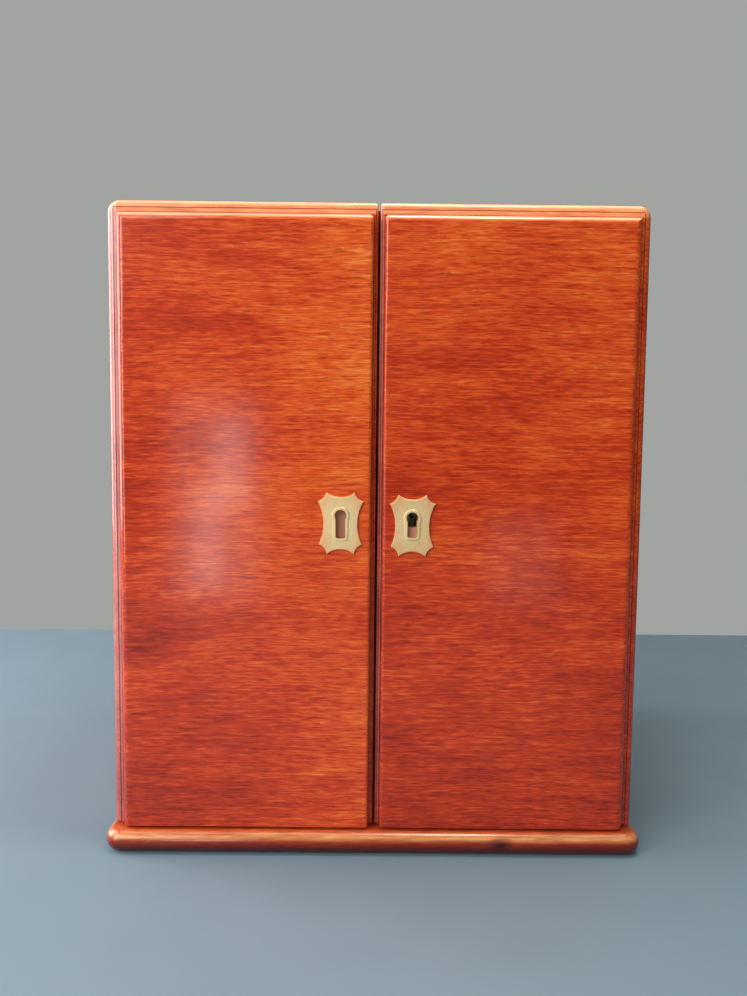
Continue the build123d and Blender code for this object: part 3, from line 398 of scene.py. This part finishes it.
SETTINGS = {"cabinet_wood": CabinetWood, "cabinet_brass": CabinetBrass, "cabinet_stage": CabinetStage}


class CABINET_OT_doors(bpy.types.Operator):
    """French-polishes the two doors"""

    bl_idname = "cabinet.doors"
    bl_label = "Doors"

    def execute(self, context):
        wood = context.scene.cabinet_wood
        # Each door, its plate, how deep its wood is, its grain, and the width and amount of the painted
        # reflection at its left
        for name, plate, depth, seed, middle, light_lean, rim, reflection_amount in (
            ("left_door", "left_escutcheon", 0.0, 0.0, 0.49, (2.3, 0.7), 0.0055, 1.0),
            ("right_door", "right_escutcheon", wood.right_depth, 3.7, 0.22, (0.3, 1.1), 0.0020, 0.6),
        ):
            low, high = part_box(name)
            # Each door lightens as a painted fall of light, carries painted top light on upward edges, and a
            # painted highlight and reflection on its mouldings
            finish = mahogany(
                name + "_mahogany", "X", wood.polished(depth), DOOR_POLISH, 0.40, seed, middle, light_lean,
                wear_and_top_light=0.6, keyhole=centre_of(plate), moulding=(high.z - TOP_HIGHLIGHT_HEIGHT, low.x + rim, reflection_amount),
            )
            put_on(finish, name)
        return {"FINISHED"}


class CABINET_OT_case(bpy.types.Operator):
    """Polishes the outside of the case, and oils the boards inside it"""

    bl_idname = "cabinet.case"
    bl_label = "Case"

    def execute(self, context):
        wood = context.scene.cabinet_wood
        tones = wood.polished(wood.case_depth)
        # The plinth is painted lighter to the left, painted with top light on upward edges and painted with
        # shade along its bottom
        plinth = mahogany(
            "plinth_mahogany", "X", tones, DOOR_POLISH, 0.40, 1.3, middle=0.36, light_lean=(-1.2, 0.0), wear_and_top_light=0.75,
            shade_height=0.0075, bruise=(0.066, 0, 0.0065),
        )
        put_on(plinth, "plinth")
        put_on(mahogany("top_mahogany", "X", tones, DOOR_POLISH, 0.42, 2.1, middle=0.35), "top_board")
        sides = mahogany("side_mahogany", "Z", tones, DOOR_POLISH, 0.42, 4.4, middle=0.4)
        put_on(sides, "right_side", "left_side")
        bare = wood.bare()
        put_on(mahogany("shelf_mahogany", "X", bare, 0.15, 0.5, 0.7), "floor_board", "shelf")
        put_on(mahogany("back_mahogany", "Z", bare, 0.1, 0.5, 5.2), "back_panel")
        put_on(mahogany("rack_mahogany", "Y", bare, 0.15, 0.5, 6.1), "rack_partitions", "base_guides")
        return {"FINISHED"}


class CABINET_OT_viewer(bpy.types.Operator):
    """Polishes the stereo viewer's boards and blackens its inside"""

    bl_idname = "cabinet.viewer"
    bl_label = "Viewer woodwork"

    def execute(self, context):
        wood = context.scene.cabinet_wood
        tones = wood.polished(wood.case_depth * 0.6)
        flat = mahogany("viewer_mahogany", "X", tones, 0.7, 0.4, 7.7)
        put_on(flat, "viewer_base", "viewer_floor", "viewer_roof", "lens_board", "mirror_flap")
        put_on(mahogany("cheek_mahogany", "Z", tones, 0.7, 0.4, 8.2), "right_cheek", "left_cheek")
        put_on(blackened_wood(), "septum", "card_mask", "glass_frame", "eye_cups")
        return {"FINISHED"}


class CABINET_OT_metalwork(bpy.types.Operator):
    """Finishes the brass and steel"""

    bl_idname = "cabinet.metalwork"
    bl_label = "Metalwork"

    def execute(self, context):
        brass = context.scene.cabinet_brass
        bright, dull = tuple(brass.bright), tuple(brass.dull)
        for plate in ("right_escutcheon", "left_escutcheon"):
            satin = lacquered_brass(plate + "_brass", bright, dull, 0.42, metal=0.7, middle=centre_of(plate))
            put_on(satin, plate)
        put_on(
            lacquered_brass("fittings_brass", bright, dull, 0.22),
            "frame_hinge_leaves", "right_door_leaves", "left_door_leaves", "hinge_pins", "strike_plate",
            "slide_bolt_plates", "upper_slide_bolt", "lower_slide_bolt", "bolt_keepers", "right_bracket",
            "left_bracket", "card_springs", "trunnions", "tilt_knobs", "eyepiece_tubes", "lens_rings",
            "focus_racks", "focus_knobs", "flap_hinge_lugs", "flap_hinge_straps", "flap_knob", "lock_bolt",
            "lock_tumbler",
        )
        # The lock cap is painted with black shade where it shows in the keyhole
        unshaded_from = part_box("lock_cap")[1].y - UNSHADED_CAP
        put_on(lacquered_brass("cap_brass", bright, dull, 0.3, painted_shade_before=unshaded_from), "lock_cap")
        put_on(
            lacquered_brass("screw_brass", dull, tuple(c * 0.7 for c in dull), 0.3),
            "frame_hinge_screws", "right_door_screws", "left_door_screws", "slide_bolt_screws",
            "bracket_screws",
        )
        put_on(bright_steel(), "plinth_screws", "lock_screws", "lock_case", "focus_shaft")
        return {"FINISHED"}


class CABINET_OT_glass(bpy.types.Operator):
    """Finishes the lenses, the frosted window and the mirror"""

    bl_idname = "cabinet.glass"
    bl_label = "Glass"

    def execute(self, context):
        for name, node, tint, roughness, clearness, ior in (
            ("lens_glass", "lenses", (0.96, 0.98, 0.97, 1), 0.0, 1.0, 1.52),
            ("ground_glass", "ground_glass", (0.9, 0.93, 0.92, 1), 0.55, 0.9, 1.5),
        ):
            glass = Finish(name, base_color=tint, roughness=roughness, transmission_weight=clearness, ior=ior)
            put_on(glass, node)
        silver = Finish("silvered_mirror", metallic=1.0)
        spots = silver.noise(0.003, detail=4.0).above(0.68, 0.06)
        silver.shade("Base Color", silver.blend(spots * 0.5, (0.82, 0.83, 0.82), (0.35, 0.31, 0.27)))
        silver.shade("Roughness", 0.03 + spots * 0.25)
        put_on(silver, "mirror_glass")
        return {"FINISHED"}


class CABINET_OT_stage(bpy.types.Operator):
    """Makes the floor, the lights and the camera"""

    bl_idname = "cabinet.stage"
    bl_label = "Stage"

    def execute(self, context):
        stage = context.scene.cabinet_stage
        mesh = bpy.data.meshes.new("floor")
        shape = bmesh.new()
        width, depth, far_edge = 3.2, 1.8, 0.35
        placed = Matrix.Translation((0, far_edge - depth / 2, 0)) @ Matrix.Diagonal((width, depth, 1, 1))
        bmesh.ops.create_grid(shape, x_segments=1, y_segments=1, size=0.5, matrix=placed)
        shape.to_mesh(mesh)
        shape.free()
        floor = bpy.data.objects.new("floor", mesh)
        context.scene.collection.objects.link(floor)
        floor_finish = Finish("floor_paint", roughness=0.6)
        mottle = floor_finish.noise(0.05, detail=4.0)
        paint = floor_finish.blend(mottle, (0.136, 0.196, 0.238), (0.160, 0.222, 0.266))
        floor_finish.shade("Base Color", paint)
        mesh.materials.append(floor_finish.material)

        world = bpy.data.worlds.new("studio")
        context.scene.world = world
        world.use_nodes = True
        background = world.node_tree.nodes["Background"]
        background.inputs["Color"].default_value = (0.97, 1.0, 0.96, 1)
        mirrored = world.node_tree.nodes.new("ShaderNodeLightPath")
        level = world.node_tree.nodes.new("ShaderNodeMapRange")
        level.inputs["To Min"].default_value, level.inputs["To Max"].default_value = 0.37, stage.room_light
        world.node_tree.links.new(mirrored.outputs["Is Glossy Ray"], level.inputs["Value"])
        world.node_tree.links.new(level.outputs["Result"], background.inputs["Strength"])

        def light(name, kind, place, aim, power, **shape):
            data = bpy.data.lights.new(name, kind)
            data.energy = power
            for setting, value in shape.items():
                setattr(data, setting, value)
            lamp = bpy.data.objects.new(name, data)
            lamp.location = place
            lamp.rotation_euler = (Vector(aim) - Vector(place)).to_track_quat("-Z", "Y").to_euler()
            lamp.visible_camera = False
            context.scene.collection.objects.link(lamp)

        def panel(name, place, aim, power, width, height, colour=(1.0, 0.97, 0.92)):
            light(name, "AREA", place, aim, power, shape="RECTANGLE", size=width, size_y=height, color=colour)

        middle = (0, 0, 0.17)
        light("daylight", "SUN", (-0.9, -1.2, 1.0), middle, stage.daylight, angle=math.radians(40))
        panel("key", (-0.85, -0.95, 1.25), middle, stage.key_power, 0.7, 0.7)
        panel("top", (0.0, -0.02, 0.82), (0, -0.08, 0.17), stage.top_power, 0.9, 0.5)
        panel("lamp", (0.085, -0.14, 0.82), (0.05, FACE_Y, 0.3), stage.top_power * 0.45, 0.12, 0.25)
        cool = (1.0, 0.98, 1.0)
        panel("window", (-0.85, 0.06, 0.50), (-0.12, -0.05, 0.25), stage.window_power, 0.55, 0.9, cool)
        gap_power = stage.window_power * 0.34
        panel("curtain_gap", (-0.72, -0.62, 0.42), (-0.05, FACE_Y, 0.2), gap_power, 0.13, 0.8, cool)
        pink = (1.0, 0.93, 0.93)
        low_light_y = -0.75
        for name, x, z, width, height, share in (
            ("glow_upper", -0.195, 0.185, 0.04, 0.12, 0.45), ("glow_lower", -0.225, 0.085, 0.04, 0.14, 0.5),
            ("halo", -0.215, 0.13, 0.12, 0.30, 1.4), ("right_glow", 0.204, 0.043, 0.10, 0.16, 0.3),
        ):
            # Where the camera sees it mirrored in the doors: 0.37 of the way out from the view's middle
            mirror = (x * 0.37, FACE_Y, 0.2135 + (z - 0.2135) * 0.37)
            panel(name, (x, low_light_y, z), mirror, stage.glow_power * share, width, height, pink)

        data = bpy.data.cameras.new("camera")
        data.lens, data.clip_start, data.clip_end = stage.lens, 0.01, 50
        camera = bpy.data.objects.new("camera", data)
        context.scene.collection.objects.link(camera)
        camera.matrix_world = (
            Matrix.Translation((-0.0033, FACE_Y - stage.distance, stage.height))
            @ Matrix.Rotation(math.radians(-0.25), 4, "Z")
            @ Matrix.Rotation(math.radians(90) - stage.tilt, 4, "X")
            @ Matrix.Rotation(math.radians(0.59), 4, "Z")
        )
        context.scene.camera = camera
        context.scene.view_settings.view_transform = "Standard"
        return {"FINISHED"}


OPERATORS = (CABINET_OT_doors, CABINET_OT_case, CABINET_OT_viewer, CABINET_OT_metalwork, CABINET_OT_glass,
             CABINET_OT_stage)


class CABINET_PT_panel(bpy.types.Panel):
    """Lists the cabinet's pieces and settings"""

    bl_label = "Cabinet"
    bl_idname = "CABINET_PT_panel"
    bl_space_type = "VIEW_3D"
    bl_region_type = "UI"
    bl_category = "Cabinet"

    def draw(self, context):
        for operator in OPERATORS:
            self.layout.operator(operator.bl_idname)
        for name, group in SETTINGS.items():
            box = self.layout.box()
            for setting in group.__annotations__:
                box.prop(getattr(context.scene, name), setting)


def register():
    for group in SETTINGS.values():
        bpy.utils.register_class(group)
    for name, group in SETTINGS.items():
        setattr(bpy.types.Scene, name, PointerProperty(type=group))
    for operator in OPERATORS:
        bpy.utils.register_class(operator)
    bpy.utils.register_class(CABINET_PT_panel)


def unregister():
    bpy.utils.unregister_class(CABINET_PT_panel)
    for operator in reversed(OPERATORS):
        bpy.utils.unregister_class(operator)
    for name, group in SETTINGS.items():
        delattr(bpy.types.Scene, name)
        bpy.utils.unregister_class(group)


def main():
    register()
    for operator in OPERATORS:
        group, name = operator.bl_idname.split(".")
        getattr(getattr(bpy.ops, group), name)()


if __name__ == "__main__":
    main()
